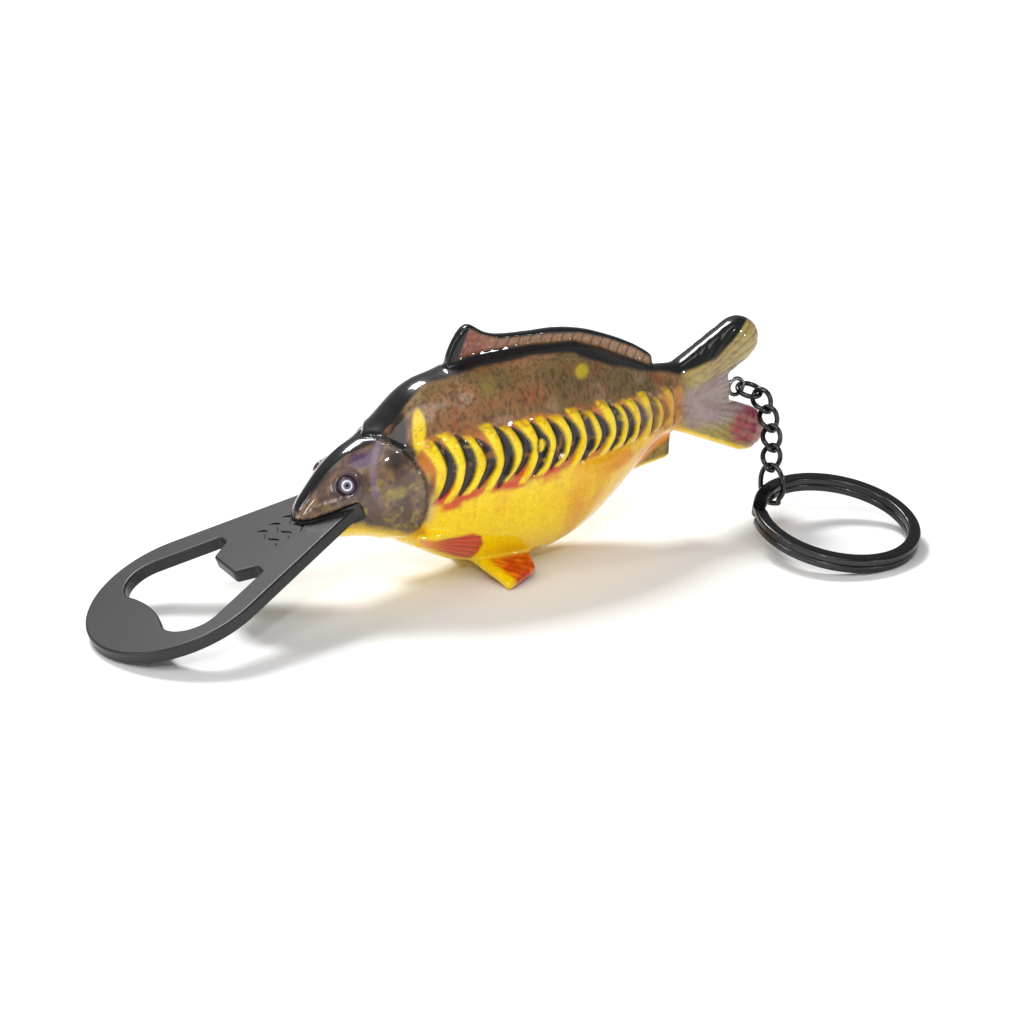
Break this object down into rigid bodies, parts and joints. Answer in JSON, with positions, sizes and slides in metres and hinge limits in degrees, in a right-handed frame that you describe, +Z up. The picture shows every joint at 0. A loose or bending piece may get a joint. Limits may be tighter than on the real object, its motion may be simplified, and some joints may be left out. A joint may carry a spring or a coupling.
{
  "type": "souvenir bottle opener",
  "caption": "Carp-shaped bottle opener: a glossy fish biting a flat steel cap-lifter plate, with a short chain and key ring at the tail.",
  "frame": {"origin": "the middle of the footprint of the whole opener as it rests on a table, on the table", "axes": "+X from the opener plate towards the carp's tail, +Y away from the key ring, +Z up"},
  "size_m": [0.1527, 0.0571, 0.0467],
  "materials": {
    "black_steel": "satin black powder coat",
    "painted_resin": "printed carp colours under a thick gloss clear coat",
    "black_epoxy": "gloss",
    "eye": "gloss white with a grey ring and a black pupil",
    "grey_wire": "bright nickel wire",
    "gunmetal": "black nickel plate",
    "black_ring": "black oxide spring steel"
  },
  "bodies": {
    "carp": {"fish_body": "painted_resin", "opener_plate": "black_steel", "tang_adhesive": "black_epoxy", "eye_left": "eye", "eye_right": "eye", "screw_eye": "grey_wire"},
    "chain_link_1": {"chain_link_1": "gunmetal"},
    "chain_link_2": {"chain_link_2": "gunmetal"},
    "chain_link_3": {"chain_link_3": "gunmetal"},
    "chain_link_4": {"chain_link_4": "gunmetal"},
    "chain_link_5": {"chain_link_5": "gunmetal"},
    "chain_link_6": {"chain_link_6": "gunmetal"},
    "split_ring": {"split_ring": "black_ring"}
  },
  "joints": [
    {"name": "jump_ring_swing", "type": "hinge", "parent": "carp", "child": "chain_link_1", "pos_m": [0.0556, 0.0115, 0.02425], "axis": [0.342, 0, 0.9397], "range_deg": [-20, 20]},
    {"name": "link_2_swing", "type": "hinge", "parent": "chain_link_1", "child": "chain_link_2", "pos_m": [0.05817, 0.00919, 0.02333], "axis": [0.6924, 0.7023, 0.1651], "range_deg": [-25, 2]},
    {"name": "link_3_swing", "type": "hinge", "parent": "chain_link_2", "child": "chain_link_3", "pos_m": [0.05772, 0.00621, 0.02071], "axis": [-0.8777, -0.3533, 0.3236], "range_deg": [-20, 20]},
    {"name": "link_4_swing", "type": "hinge", "parent": "chain_link_3", "child": "chain_link_4", "pos_m": [0.05722, 0.00394, 0.01777], "axis": [0.872, 0.3169, -0.3731], "range_deg": [-20, 20]},
    {"name": "link_5_swing", "type": "hinge", "parent": "chain_link_4", "child": "chain_link_5", "pos_m": [0.05627, 0.00211, 0.01462], "axis": [-0.8614, -0.294, 0.4141], "range_deg": [-20, 20]},
    {"name": "end_link_swing", "type": "hinge", "parent": "chain_link_5", "child": "chain_link_6", "pos_m": [0.05497, 0.00076, 0.01138], "axis": [0.849, 0.2804, -0.4478], "range_deg": [-20, 20]},
    {"name": "split_ring_swing", "type": "hinge", "parent": "chain_link_6", "child": "split_ring", "pos_m": [0.05528, -0.0001, 0.00479], "axis": [-0.0284, -0.1057, -0.994], "range_deg": [-21, 3]}
  ]
}
